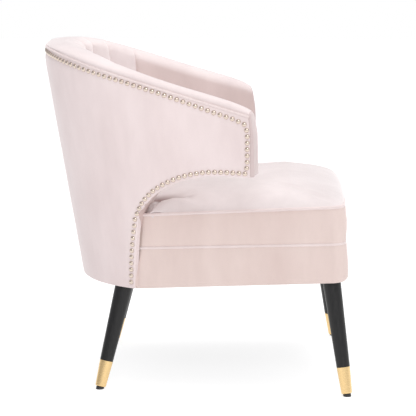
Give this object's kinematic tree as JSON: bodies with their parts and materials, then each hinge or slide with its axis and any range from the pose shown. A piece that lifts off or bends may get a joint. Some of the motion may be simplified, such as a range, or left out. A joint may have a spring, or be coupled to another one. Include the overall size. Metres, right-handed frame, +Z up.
{
  "type": "accent armchair",
  "caption": "Barrel-back upholstered armchair with open-fronted wing arms, a crowned piped seat, nail-head trim and splayed tapered legs with metal ferrules.",
  "frame": {"origin": "on the floor, at the centre of the footprint of the whole chair's box", "axes": "+Z up; the chair faces -Y; +X is the sitter's left"},
  "size_m": [0.6818, 0.7064, 0.7788],
  "materials": {
    "velvet_outer": "pale blush pink short-pile velvet with a whitish sheen",
    "velvet_inner": "pale blush pink short-pile velvet",
    "velvet_piping": "velvet-covered piping cord",
    "foam": "open-cell polyurethane foam",
    "felt": "needle-punched insulator felt",
    "webbing": "woven elastic webbing",
    "fibreboard": "bent hardboard",
    "dust_cloth": "black non-woven dust cloth",
    "plywood": "raw birch plywood",
    "steel": "bright drawn wire and zinc plate",
    "nail_gold": "polished pale gold, domed",
    "ferrule_gold": "brushed light gold",
    "leg_lacquer": "satin black lacquer on turned hardwood",
    "glide": "moulded black nylon"
  },
  "bodies": {
    "root": {"front_seat_rail": "plywood", "left_seat_rail": "plywood", "right_seat_rail": "plywood", "rear_cross_rail": "plywood", "barrel_base_plate": "plywood", "front_left_corner_block": "plywood", "front_right_corner_block": "plywood", "left_back_post": "plywood", "right_back_post": "plywood", "back_slats": "plywood", "top_back_rail": "plywood", "left_arm_top_rail": "plywood", "right_arm_top_rail": "plywood", "left_arm_lower_rail": "plywood", "right_arm_lower_rail": "plywood", "left_arm_front_post": "plywood", "right_arm_front_post": "plywood", "seat_springs": "steel", "spring_clips": "steel", "spring_tie_wires": "steel", "seat_insulator_pad": "felt", "seat_foam": "foam", "seat_top_cover": "velvet_outer", "seat_upper_band": "velvet_outer", "seat_lower_band": "velvet_outer", "seat_top_piping": "velvet_piping", "seat_middle_piping": "velvet_piping", "back_webbing": "webbing", "outer_back_board": "fibreboard", "outer_cover": "velvet_outer", "back_foam": "foam", "left_arm_foam": "foam", "right_arm_foam": "foam", "left_arm_front_pad": "foam", "right_arm_front_pad": "foam", "inside_back_cover": "velvet_inner", "left_inside_arm_cover": "velvet_inner", "right_inside_arm_cover": "velvet_inner", "left_arm_front_cover": "velvet_outer", "right_arm_front_cover": "velvet_outer", "left_arm_underside_cover": "velvet_outer", "right_arm_underside_cover": "velvet_outer", "roll_piping": "velvet_piping", "left_nail_trim": "nail_gold", "right_nail_trim": "nail_gold", "dust_cover": "dust_cloth", "front_left_leg": "leg_lacquer", "front_right_leg": "leg_lacquer", "rear_left_leg": "leg_lacquer", "rear_right_leg": "leg_lacquer", "front_left_ferrule": "ferrule_gold", "front_right_ferrule": "ferrule_gold", "rear_left_ferrule": "ferrule_gold", "rear_right_ferrule": "ferrule_gold", "front_left_glide": "glide", "front_right_glide": "glide", "rear_left_glide": "glide", "rear_right_glide": "glide", "leg_bolts": "steel", "leg_tee_nuts": "steel"}
  },
  "joints": []
}
